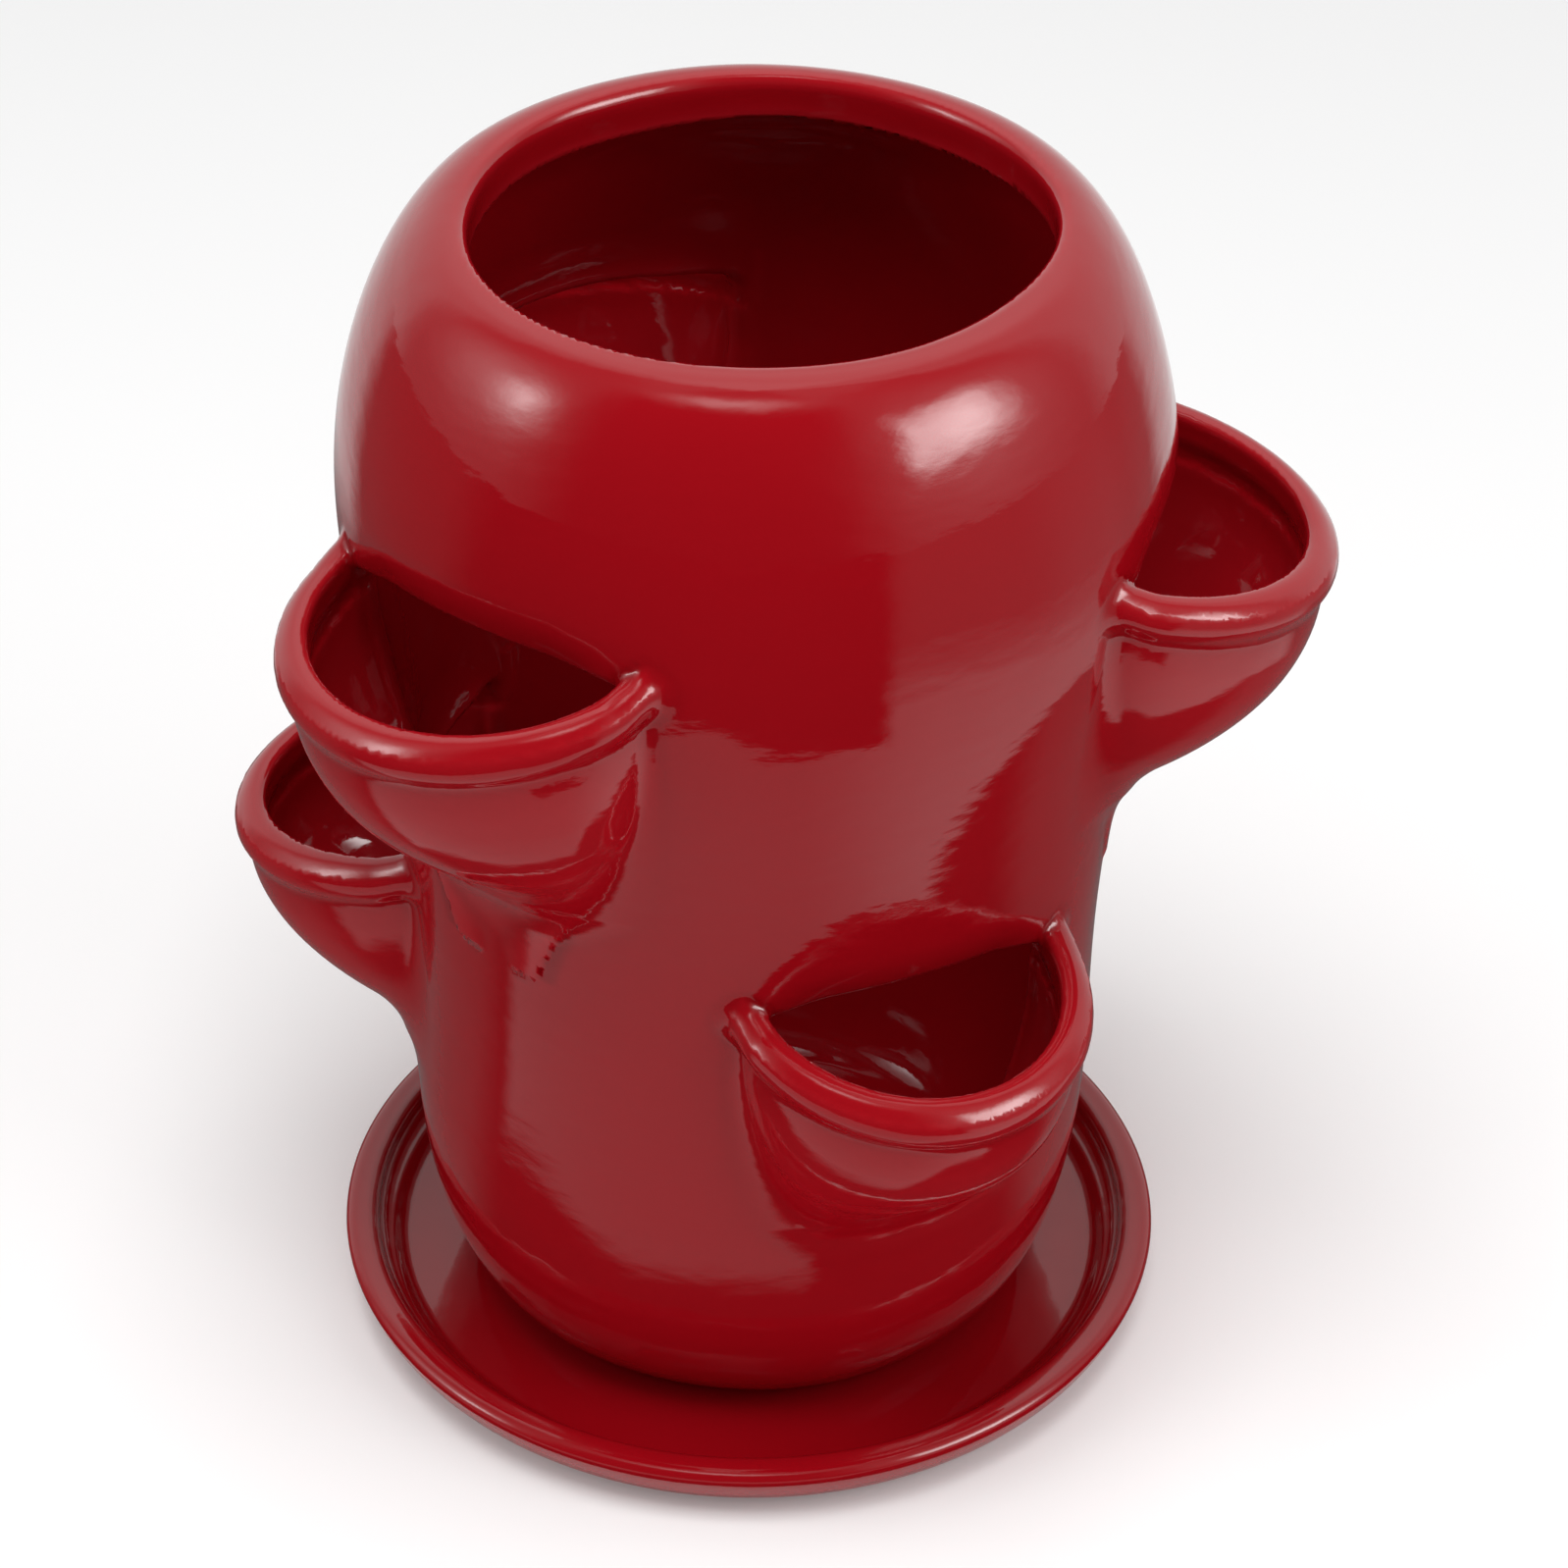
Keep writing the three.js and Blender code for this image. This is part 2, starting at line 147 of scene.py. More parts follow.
# The outside of the jar as (radius, height), from the foot to the crest of the lip and a
# little way down inside it.
LIP_STEPS = 20
spread, flare = WAIST_RADIUS - FOOT_RADIUS, SHOULDER_HEIGHT - WAIST_HEIGHT
dome, shrink = JAR_HEIGHT - SHOULDER_HEIGHT, SHOULDER_RADIUS - MOUTH_RADIUS
outside = np.concatenate([
    bezier((FOOT_RADIUS, 0), (FOOT_RADIUS + HEEL_HOLD * spread, 0),
           (WAIST_RADIUS, (1 - HEEL_HOLD) * WAIST_HEIGHT), (WAIST_RADIUS, WAIST_HEIGHT), 400),
    bezier((WAIST_RADIUS, WAIST_HEIGHT), (WAIST_RADIUS, WAIST_HEIGHT + WAIST_HOLD * flare),
           (SHOULDER_RADIUS, SHOULDER_HEIGHT - FLARE_HOLD * flare),
           (SHOULDER_RADIUS, SHOULDER_HEIGHT), 500)[1:],
    bezier((SHOULDER_RADIUS, SHOULDER_HEIGHT),
           (SHOULDER_RADIUS, SHOULDER_HEIGHT + DOME_RISE_HOLD * dome),
           (MOUTH_RADIUS + DOME_TOP_HOLD * shrink, JAR_HEIGHT), (MOUTH_RADIUS, JAR_HEIGHT), 400)[1:],
    bezier((MOUTH_RADIUS, JAR_HEIGHT), (MOUTH_RADIUS - 1.5, JAR_HEIGHT),
           (MOUTH_RADIUS - 3.2, JAR_HEIGHT - 0.8), (MOUTH_RADIUS - 5.0, JAR_HEIGHT - 2.2),
           LIP_STEPS)[1:],
])
outside_to_crest = outside[:1 - LIP_STEPS]

# The middle of the wall, from the jar's axis to the lip, with its direction and its bend.
CORE_GAP = 0.5
BEND_WINDOW = 13                   # points that the bend is averaged over
along = directions_along(outside)
core = outside + np.stack([-along[:, 1], along[:, 0]], 1) * WALL / 2
core = evenly(np.concatenate([[[0.0, WALL / 2]], core]), CORE_GAP)
core_along = directions_along(core)
core_bend = np.gradient(np.unwrap(np.arctan2(core_along[:, 1], core_along[:, 0]))) / CORE_GAP
core_bend = np.convolve(np.pad(core_bend, BEND_WINDOW // 2, mode="edge"),
                        np.ones(BEND_WINDOW) / BEND_WINDOW, mode="valid")

# Which point of the core is nearest, for each whole millimetre of radius and height.
SEARCH_RADIUS, SEARCH_BELOW, SEARCH_ABOVE = 150, 15, 305
near_r, near_h = np.meshgrid(np.arange(float(SEARCH_RADIUS)),
                             np.arange(-SEARCH_BELOW, float(SEARCH_ABOVE)), indexing="ij")
nearest = np.zeros(near_r.shape, np.int32)
for row in range(SEARCH_RADIUS):
    gap = (near_r[row][:, None] - core[:, 0]) ** 2 + (near_h[row][:, None] - core[:, 1]) ** 2
    nearest[row] = gap.argmin(1)


def seen_from_core(k, radius, height):
    """How far places are ahead along the core and out from it, seen from its points k."""
    dr, dh = radius - core[k, 0], height - core[k, 1]
    ahead = dr * core_along[k, 0] + dh * core_along[k, 1]
    out = dr * core_along[k, 1] - dh * core_along[k, 0]
    return ahead, out


def from_core(radius, height):
    """Distance outwards from the middle of the wall, which runs straight on past the lip."""
    k = nearest[
        np.clip(np.rint(radius), 0, SEARCH_RADIUS - 1).astype(np.int32),
        np.clip(np.rint(height) + SEARCH_BELOW, 0, SEARCH_BELOW + SEARCH_ABOVE - 1).astype(np.int32)]
    for _ in range(4):
        ahead, out = seen_from_core(k, radius, height)
        step = ahead / CORE_GAP / np.clip(1 + core_bend[k] * out, 0.5, 4)
        k = np.clip(k + np.rint(step).astype(np.int32), 0, len(core) - 1)
    ahead, out = seen_from_core(k, radius, height)
    ahead = np.where(k == len(core) - 1, 0, np.clip(ahead, -CORE_GAP, CORE_GAP))
    return out + core_bend[k] * ahead ** 2 / 2


def wall_radius(height):
    return np.interp(height, outside_to_crest[:, 1], outside_to_crest[:, 0])


def ramp(value, start, end):
    """0 up to start, 1 from end on, and eased between them. Start may be the greater one."""
    share = np.clip((value - start) / (end - start), 0, 1)
    return share * share * (3 - 2 * share)


def soft_min(a, b, reach):
    """The nearer of two skins, with a fillet where they are less than reach apart."""
    share = np.maximum(reach - np.abs(a - b), 0) / reach
    return np.minimum(a, b) - share * share * reach / 4


def soft_max(a, b, reach):
    return -soft_min(-a, -b, reach)


def narrowing(depth_share):
    """What is left of a scoop's width and of its reach at a share of its depth."""
    width = (1 - depth_share ** WIDTH_EXPONENT) ** (1 / WIDTH_EXPONENT)
    reach = (1 - depth_share ** REACH_EXPONENT) ** REACH_FALL
    return width, reach


# The scoop's form, drawn once for a rim 1 wide, 1 out and 1 deep: how far its skin is from
# the middle of the rim's chord, by direction round (0 straight out) and down (0 level).
DIRECTIONS = 240
DEPTH_SAMPLES, DEEPEST = 1500, 0.9999
round_steps = np.linspace(0, math.pi / 2, DIRECTIONS + 1)
down_share = 1 - np.linspace(1, 0, DEPTH_SAMPLES) ** 2 * DEEPEST
width_there, reach_there = narrowing(down_share)
scoop_form = np.empty((DIRECTIONS + 1, DIRECTIONS + 1))
for row, angle in enumerate(round_steps):
    plan = 1 / np.hypot(math.sin(angle) / np.maximum(width_there, 1e-4),
                        math.cos(angle) / np.maximum(reach_there, 1e-4))
    scoop_form[row] = np.interp(round_steps, np.arctan2(down_share, plan),
                                np.hypot(down_share, plan))


def scoop_measure(across, out, height, tier, chord):
    """1 on the middle of a pocket's wall, less inside it and more outside."""
    x = np.abs(across) / tier["width"]
    y = (out - chord) / (tier["reach"] - chord)
    y = 0.5 * (y + np.sqrt(y * y + 0.0004))  # eased to 0 behind the chord
    width, reach = narrowing(np.clip((tier["rim"] - height) / tier["depth"], 0, 0.97))
    tip = y / np.hypot(x * (reach / width), y)
    drop = tier["drop"] * tip
    share = np.maximum((tier["rim"] - height - drop) / (tier["depth"] - drop), 0)
    plan = np.hypot(x, y)
    a = np.arctan2(x, y) * (DIRECTIONS * 2 / math.pi)
    b = np.arctan2(share, plan) * (DIRECTIONS * 2 / math.pi)
    i, j = (np.minimum(v.astype(np.int32), DIRECTIONS - 1) for v in (a, b))
    a, b = a - i, b - j
    form = ((scoop_form[i, j] * (1 - b) + scoop_form[i, j + 1] * b) * (1 - a)
            + (scoop_form[i + 1, j] * (1 - b) + scoop_form[i + 1, j + 1] * b) * a)
    return np.hypot(plan, share) / form


def across_and_out(x, y, direction):
    """Places as seen from a pocket: how far across it, and how far out from the jar's axis."""
    turn = math.radians(direction)
    return x * math.cos(turn) + y * math.sin(turn), x * math.sin(turn) - y * math.cos(turn)


def pocket_parts(across, out, height, tier):
    """For places near a pocket: how far they are out from the middle of its wall, above its
    rim, outside its bead, beside its rim's line and in front of its chord."""
    chord = math.sqrt(wall_radius(tier["rim"]) ** 2 - tier["width"] ** 2)
    step = 0.4
    here = scoop_measure(across, out, height, tier, chord)
    slope = np.sqrt(
        (scoop_measure(across + step, out, height, tier, chord) - here) ** 2
        + (scoop_measure(across, out + step, height, tier, chord) - here) ** 2
        + (scoop_measure(across, out, height + step, tier, chord) - here) ** 2) / step
    from_middle = (here - 1) / np.maximum(slope, 1e-3)

    reach = tier["reach"] - chord
    ahead = np.maximum(out - chord, 0) / reach
    rim = (tier["rim"] - tier["drop"] * np.clip(ahead, 0, 1.15) + tier["tilt"] * across
           + KNUCKLE_RISE * ramp(out - chord, KNUCKLE_LENGTH, 0))
    plan = np.hypot(across / tier["width"], ahead)
    plan_slope = np.hypot(across / tier["width"] ** 2, ahead / reach) / np.maximum(plan, 1e-3)
    beside = (plan - 1) / np.maximum(plan_slope, 1e-3)

    over, up = beside - BEAD_OVERHANG, height - rim
    across_bead = over * math.cos(BEAD_TILT) + up * math.sin(BEAD_TILT)
    along_bead = up * math.cos(BEAD_TILT) - over * math.sin(BEAD_TILT)
    bead = np.hypot(across_bead / BEAD_HALF_WIDTH, along_bead / BEAD_HALF_HEIGHT)
    bead_slope = np.hypot(across_bead / BEAD_HALF_WIDTH ** 2,
                          along_bead / BEAD_HALF_HEIGHT ** 2) / np.maximum(bead, 1e-3)
    from_bead = (bead - 1) / np.maximum(bead_slope, 1e-3)
    return from_middle, height - rim, from_bead, beside, out - chord


def over_window(across, height, tier):
    """Height over a window's arched top edge."""
    share = across / tier["width"]
    return height - (tier["rim"] + ARCH_RISE * (1 - share * share) + tier["tilt"] * across)


def add_pocket(clay, skin, across, out, height, tier):
    """The clay's field with a pocket joined on, its window cut and its rim rolled. Skin is the
    distance out from the middle of the jar's wall."""
    middle, over_rim, bead, beside, ahead = pocket_parts(across, out, height, tier)
    low = np.clip((tier["rim"] - height) / tier["depth"], 0, 1)
    bowl = np.maximum(middle - POCKET_WALL / 2, over_rim)
    bowl = np.maximum(bowl, -skin)
    fillet = CREASE_INSIDE + (CREASE_BESIDE + FILLET_UNDER * low ** 2) * np.clip((skin + 3) / 6, 0, 1)
    joined = soft_min(clay, bowl, fillet)
    # The wall of the pocket is a little thinner from just under its rim up.
    inside = middle + POCKET_WALL / 2 - POCKET_THINNING * ramp(over_rim, -9, -7)
    hollow = soft_max(inside, over_window(across, height, tier), EDGE_ROUNDING)
    hollow = np.maximum(hollow, -CUT_REACH - skin)
    cut = soft_max(joined, -hollow, EDGE_ROUNDING * (1 + ramp(over_rim, -8, -20)))
    roll = soft_max(bead, -(beside + BEAD_INSIDE), BEAD_INSIDE_ROUNDING)
    roll = np.maximum(roll, -skin - BEAD_SUNK)
    roll = np.maximum(roll, -ahead - BEAD_TAIL)
    return soft_min(cut, roll, GROOVE_INSIDE + GROOVE_OUTSIDE * ramp(beside, -1, 2))


def jar_field(x, y, z):
    """Negative in the clay and positive outside it, about in millimetres."""
    height = z - FOOT_OVER_TABLE
    radius = np.hypot(x, y)
    turn = np.arctan2(y, x)
    # No cast jar is perfectly round: the skin wanders by up to 0.44 mm, and the mouth's edge
    # by up to 1.85 mm.
    radius = (radius + 0.22 * np.sin(3 * turn + height / 31 + 0.6) * np.sin(height / 47 + 1.1)
              + 0.12 * np.sin(7 * turn - height / 19 + 2.0) + 0.10 * np.sin(height / 13 + 2 * turn))
    mouth_wander = (0.9 * np.sin(2 * turn + 0.5) + 0.6 * np.sin(3 * turn + 2.2)
                    + 0.35 * np.sin(5 * turn + 1.0))
    out = from_core(radius, height)

    # The wall leans inwards above each window, where the cut edge was pressed in.
    near = []
    for direction, tier in POCKETS:
        across, facing = across_and_out(x, y, direction)
        close = np.flatnonzero(
            (facing > 35) & (np.abs(across) < tier["width"] + 26)
            & (height > tier["rim"] - tier["depth"] - 26) & (height < tier["rim"] + 30))
        if not close.size:
            continue
        across, facing = across[close], facing[close]
        near.append((close, across, facing, tier))
        rise = (over_window(across, height[close], tier) + 2) / PRESSED_OVER
        fade = np.where(rise > 0, np.clip(1 - rise, 0, 1) ** 2, ramp(rise, -1, 0))
        out[close] += PRESSED_IN * fade * ramp(np.abs(across) / tier["width"], 1, 0.5)

    thicker = LIP_THICKENING * (height > MOUTH_FROM) * ramp(
        radius, MOUTH_RADIUS + LIP_STRETCH_START, MOUTH_RADIUS + LIP_STRETCH_END)
    clay = np.maximum(out - WALL / 2, -out - WALL / 2 - thicker)
    band = np.where(height > MOUTH_FROM, MOUTH_BAND_RADIUS + mouth_wander - radius, -99)
    clay = soft_max(clay, band, MOUTH_BAND_ROUNDING)

    # Foot: a shallow recess inside the ring that it stands on, and the drain hole.
    recess = soft_max(radius - (FOOT_RADIUS - FOOT_WIDTH), height - FOOT_RECESS, FOOT_ROUNDING)
    clay = soft_max(clay, -recess, FOOT_ROUNDING)
    clay = soft_max(clay, DRAIN_RADIUS - radius, DRAIN_ROUNDING)

    for close, across, facing, tier in near:
        clay[close] = add_pocket(clay[close], out[close], across, facing, height[close], tier)
    return clay


def field_slope(x, y, z, step):
    """The field's gradient by central differences."""
    return np.stack([
        jar_field(x + step, y, z) - jar_field(x - step, y, z),
        jar_field(x, y + step, z) - jar_field(x, y - step, z),
        jar_field(x, y, z + step) - jar_field(x, y, z - step),
    ], 1) / (2 * step)


def net_over(field, low, cell):
    """Points and quads over the zero level of a field sampled on a grid: one point in each
    cell that the level passes through, at the mean of its crossings."""
    solid = field < 0
    count = np.zeros(np.array(field.shape) - 1, np.int8)
    corners = [(i, j, k) for i in (0, 1) for j in (0, 1) for k in (0, 1)]
    nx, ny, nz = count.shape
    for i, j, k in corners:
        count += solid[i:i + nx, j:j + ny, k:k + nz]
    at = np.argwhere((count > 0) & (count < 8))
    number = np.full(count.shape, -1, np.int32)
    number[tuple(at.T)] = np.arange(len(at))
    total, crossings = np.zeros((len(at), 3)), np.zeros(len(at))
    for a in corners:
        for axis in range(3):
            if a[axis]:
                continue
            b = list(a)
            b[axis] = 1
            fa = field[at[:, 0] + a[0], at[:, 1] + a[1], at[:, 2] + a[2]]
            fb = field[at[:, 0] + b[0], at[:, 1] + b[1], at[:, 2] + b[2]]
            crosses = (fa < 0) != (fb < 0)
            share = np.where(crosses, fa / np.where(crosses, fa - fb, 1), 0)
            for d in range(3):
                total[:, d] += crosses * (a[d] + (share if d == axis else 0))
            crossings += crosses
    points = low + cell * (at + total / crossings[:, None])
    quads = []
    for axis in range(3):
        last = solid.shape[axis] - 1
        a = solid.take(range(last), axis)
        b = solid.take(range(1, last + 1), axis)
        edges = np.argwhere(a != b)
        inward = a[tuple(edges.T)]
        s, t = [(1, 2), (2, 0), (0, 1)][axis]
        ring = []
        for ds, dt in ((-1, -1), (0, -1), (0, 0), (-1, 0)):
            cell_at = edges.copy()
            cell_at[:, s] += ds
            cell_at[:, t] += dt
            ring.append(number[tuple(cell_at.T)])
        ring = np.stack(ring, 1)
        ring[~inward] = ring[~inward][:, ::-1]
        quads.append(ring)
    return points, np.concatenate(quads)


def settle(points):
    """Moves points onto the zero level, at most 1 unit of the field at a time."""
    for _ in range(2):
        here = jar_field(*points.T)
        slope = field_slope(*points.T, 0.25)
        size = np.maximum((slope ** 2).sum(1), 0.2)
        points = points - slope * np.clip(here / size, -1, 1)[:, None]
    return points


def facing_out(points, step):
    """The skin's unit normals at points on or near it."""
    normals = field_slope(*points.T, step)
    return normals / np.linalg.norm(normals, axis=1)[:, None]


def relax(points, quads, rounds):
    """Evens out the quads without moving them off the skin."""
    ends = np.concatenate([quads, np.roll(quads, 1, axis=1)]).reshape(2, -1)
    a, b = np.concatenate([ends[0], ends[1]]), np.concatenate([ends[1], ends[0]])
    degree = np.bincount(a, minlength=len(points))[:, None]
    for _ in range(rounds):
        mean = np.stack([np.bincount(a, points[b, d], len(points)) for d in range(3)], 1) / degree
        normal = facing_out(points, 0.5)
        shift = 0.5 * (mean - points)
        points = points + shift - normal * (shift * normal).sum(1)[:, None]
    return points


grid_size = np.ceil((GRID_HIGH - GRID_LOW) / CELL).astype(int) + 1
xs, ys, zs = (GRID_LOW[d] + CELL * np.arange(grid_size[d]) for d in range(3))
layer_y, layer_z = np.meshgrid(ys, zs, indexing="ij")
field = np.empty(grid_size, np.float32)
for layer, x in enumerate(xs):
    layer_x = np.full(layer_y.size, x)
    field[layer] = jar_field(layer_x, layer_y.ravel(), layer_z.ravel()).reshape(layer_y.shape)
points, quads = net_over(field, GRID_LOW, CELL)
points = settle(points)
points = settle(relax(points, quads, 2))

# One dip of cherry-red gloss glaze over white earthenware: deep where it pools in creases,
# a little paler where it runs thin over edges, with the fine ripple of a fired glaze.
GLAZE_RED = (0.300, 0.0022, 0.0062)
GLAZE_DEEP = (0.215, 0.0013, 0.0038)
GLAZE_THIN = (0.370, 0.0066, 0.0120)
GLAZE_ROUGHNESS = 0.06
EVEN_DEPTH, POOLING = 0.49, 1.2    # the glaze's depth where flat, and how a bend changes it
BEND_REACH = 2.0                   # how far apart a bend is felt
CLOUD_SCALE, CLOUD_STRENGTH = 14.0, 0.22
RIPPLE_SCALE, RIPPLE_HEIGHT = 300.0, 0.000022
SWELL_SCALE, SWELL_HEIGHT = 90.0, 0.00012
RIPPLE_SQUASH = (1.0, 1.0, 2.2)    # ripples lie level: wider than they are high


def node(tree, kind, **values):
    """Adds a node, with its settings and its unlinked sockets given by name."""
    made = tree.nodes.new(kind)
    for name, value in values.items():
        if name in made.inputs:
            made.inputs[name].default_value = value
        else:
            setattr(made, name, value)
    return made


def bare_material(name):
    """A new material with only its output node."""
    material = bpy.data.materials.new(name)
    material.use_nodes = True
    material.node_tree.nodes.clear()
    return material, material.node_tree, node(material.node_tree, "ShaderNodeOutputMaterial")


def red_glaze():
    material, tree, out = bare_material("red_glaze")
    link = tree.links.new
    shine = node(tree, "ShaderNodeBsdfPrincipled", Roughness=GLAZE_ROUGHNESS, IOR=1.5)
    link(shine.outputs["BSDF"], out.inputs["Surface"])

    place = node(tree, "ShaderNodeTexCoord")
    cloud = node(tree, "ShaderNodeTexNoise", Scale=CLOUD_SCALE, Detail=3.0)
    link(place.outputs["Object"], cloud.inputs["Vector"])
    depth = node(tree, "ShaderNodeAttribute", attribute_name="glaze_depth")
    tint = node(tree, "ShaderNodeMath", operation="MULTIPLY_ADD")
    tint.inputs[1].default_value = CLOUD_STRENGTH
    link(cloud.outputs["Fac"], tint.inputs[0])
    link(depth.outputs["Fac"], tint.inputs[2])
    colour = node(tree, "ShaderNodeValToRGB")
    stops = colour.color_ramp.elements
    stops[0].position, stops[0].color = 0.0, (*GLAZE_THIN, 1)
    stops[1].position, stops[1].color = 1.0, (*GLAZE_DEEP, 1)
    middle = stops.new(0.6)
    middle.color = (*GLAZE_RED, 1)
    link(tint.outputs["Value"], colour.inputs["Fac"])
    link(colour.outputs["Color"], shine.inputs["Base Color"])

    stretch = node(tree, "ShaderNodeMapping", Scale=RIPPLE_SQUASH)
    link(place.outputs["Object"], stretch.inputs["Vector"])
    ripple = node(tree, "ShaderNodeTexNoise", Scale=RIPPLE_SCALE, Detail=2.0)
    link(stretch.outputs["Vector"], ripple.inputs["Vector"])
    swell = node(tree, "ShaderNodeTexNoise", Scale=SWELL_SCALE, Detail=1.0)
    link(stretch.outputs["Vector"], swell.inputs["Vector"])
    fine = node(tree, "ShaderNodeBump", Strength=1.0, Distance=RIPPLE_HEIGHT)
    link(ripple.outputs["Fac"], fine.inputs["Height"])
    broad = node(tree, "ShaderNodeBump", Strength=1.0, Distance=SWELL_HEIGHT)
    link(swell.outputs["Fac"], broad.inputs["Height"])
    link(fine.outputs["Normal"], broad.inputs["Normal"])
    link(broad.outputs["Normal"], shine.inputs["Normal"])
    return material


def smooth_object(name, points, faces, material, attribute, values):
    """A smooth-shaded mesh, with a material and the point attribute that it reads."""
    mesh = bpy.data.meshes.new(name)
    mesh.from_pydata(points.tolist(), [], faces)
    mesh.polygons.foreach_set("use_smooth", np.ones(len(mesh.polygons), bool))
    mesh.attributes.new(attribute, "FLOAT", "POINT").data.foreach_set(
        "value", values.astype(np.float32).ravel())
    mesh.materials.append(material)
    made = bpy.data.objects.new(name, mesh)
    bpy.context.scene.collection.objects.link(made)
    return made


# Glaze runs thin over edges and pools in creases, which the skin's bend tells apart.
glaze = red_glaze()
around = sum(jar_field(*(points + offset * BEND_REACH).T) for offset in (*np.eye(3), *-np.eye(3)))
bend = (around - 6 * jar_field(*points.T)) / BEND_REACH ** 2
jar = smooth_object("strawberry_jar", points / 1000, quads.tolist(), glaze,
                    "glaze_depth", np.clip(EVEN_DEPTH - bend * POOLING, 0, 1))
jar.data.normals_split_custom_set_from_vertices(facing_out(points, 0.3).tolist())
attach(jar, "jar")
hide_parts("jar_heel", "jar_waist", "jar_shoulder", "jar_mouth",
            "pocket_upper_front_left", "pocket_upper_right", "pocket_upper_back_left",
            "pocket_lower_front_right", "pocket_lower_back_right", "pocket_lower_left")


# ---- Saucer ----
# A shallow pressed dish in the same clay and glaze, with a rounded rim that stands away from
# the jar all round. The jar rests loose on its floor. Sizes are in millimetres.
SAUCER_RADIUS, SAUCER_HEIGHT, SAUCER_THICKNESS = 100.0, 16.0, 6.0
SAUCER_FLOOR, SAUCER_FOOT, SAUCER_SWEEP, SAUCER_FLARE = 84.0, 82.0, 0.6, 2.2
RIM_ROUNDING, RIM_BAND_WIDTH, RIM_INNER_WIDTH = 2.8, 5.0, 3.0
STEP_WIDTH, STEP_DROP = 3.2, 4.0
SAUCER_TURNS = 256

rim_base = SAUCER_HEIGHT - RIM_ROUNDING
crest = SAUCER_RADIUS - RIM_BAND_WIDTH
wall_top = crest - RIM_INNER_WIDTH
step_radius, step_height = wall_top - STEP_WIDTH, rim_base - STEP_DROP
quarter = np.linspace(0, math.pi / 2, 13)
# From the middle of the underside, out and up over the rim, and back in over the floor.
saucer_line = np.concatenate([
    [[0.0, 0.0], [40.0, 0.0]],
    bezier((SAUCER_FOOT, 0), (SAUCER_FOOT + SAUCER_SWEEP * (SAUCER_RADIUS - SAUCER_FOOT), 0),
           (SAUCER_RADIUS - SAUCER_FLARE, (1 - SAUCER_SWEEP) * rim_base),
           (SAUCER_RADIUS, rim_base), 24),
    np.stack([crest + RIM_BAND_WIDTH * np.cos(quarter) ** 0.8,
              rim_base + RIM_ROUNDING * np.sin(quarter) ** 0.9], 1)[1:],
    np.stack([crest - RIM_INNER_WIDTH * np.sin(quarter),
              rim_base + RIM_ROUNDING * np.cos(quarter)], 1)[1:],
    bezier((wall_top, rim_base), (wall_top - 0.2, rim_base - 1.6),
           (step_radius + 1.4, step_height + 0.4), (step_radius, step_height), 12)[1:],
    bezier((step_radius, step_height), (step_radius - 1.2, step_height - 0.5),
           (SAUCER_FLOOR + 2.4, SAUCER_THICKNESS), (SAUCER_FLOOR, SAUCER_THICKNESS), 16)[1:],
    [[radius, SAUCER_THICKNESS] for radius in (72.0, 50.0, 25.0, 0.0)],
])


def turned(line, turns):
    """Points and faces of a line turned about +Z, from the axis and back to it."""
    angles = np.arange(turns) * 2 * math.pi / turns
    ring = line[1:-1]
    points = np.concatenate([
        [[0, 0, line[0, 1]]],
        np.stack([np.outer(ring[:, 0], np.cos(angles)).ravel(),
                  np.outer(ring[:, 0], np.sin(angles)).ravel(),
                  np.repeat(ring[:, 1], turns)], 1),
        [[0, 0, line[-1, 1]]],
    ])
    last = 1 + (len(ring) - 1) * turns
    faces = []
    for i in range(turns):
        j = (i + 1) % turns
        faces.append((0, 1 + j, 1 + i))
        faces += [(a + i, a + j, a + turns + j, a + turns + i) for a in range(1, last, turns)]
        faces.append((last + i, last + j, len(points) - 1))
    return points, faces


saucer_points, saucer_faces = turned(saucer_line, SAUCER_TURNS)
saucer = smooth_object("drip_saucer", saucer_points / 1000, saucer_faces, glaze,
                       "glaze_depth", np.full(len(saucer_points), EVEN_DEPTH))
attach(saucer, "saucer")
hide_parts("saucer")


# ---- Studio ----
# A white floor in a white room, a soft box on each side and one overhead. What the glaze
# mirrors is a separate shell and floor of painted light: painted highlights of the soft boxes,
# painted room tones and a painted shadow, which glow only in reflections.
FLOOR_SIZE, FLOOR_WHITE, FLOOR_GLARE = 12.0, 0.90, 0.10
ROOM_FILL = 0.45
SHELL_RADIUS, SHELL_HEIGHT = 4.0, 0.24
LAMP_DISTANCE = 1.6
LAMPS = [  # name, azimuth from the front towards +X, elevation, side, watts
    ("soft_box_left", -76, 28, 0.8, 3.5),
    ("soft_box_right", 62, 30, 0.9, 6.5),
    ("soft_box_overhead", -14, 76, 1.0, 18),
]
# Painted highlights of the soft boxes on the shell, in place of the lamps themselves.
PAINTED_HIGHLIGHTS = [  # strength, azimuth, elevation, and the spread of each
    (2.5, 66, 26, 6.0, 6.0),       # the heart of the right soft box
    (1.3, 66, 25, 18, 17),         # and its spill
    (6.6, -76, 26, 5.2, 6.0),      # the left soft box
    (1.6, -86, 26, 13, 12),        # and its spill
    (3.3, -14, 69, 22, 4.0),       # the front edge of the one overhead
]
# Where the floor's painted reflection starts out from the jar's axis, and how far it floats over the
# floor.
PAINTED_FLOOR_START, PAINTED_FLOOR_LIFT = 0.103, 0.001

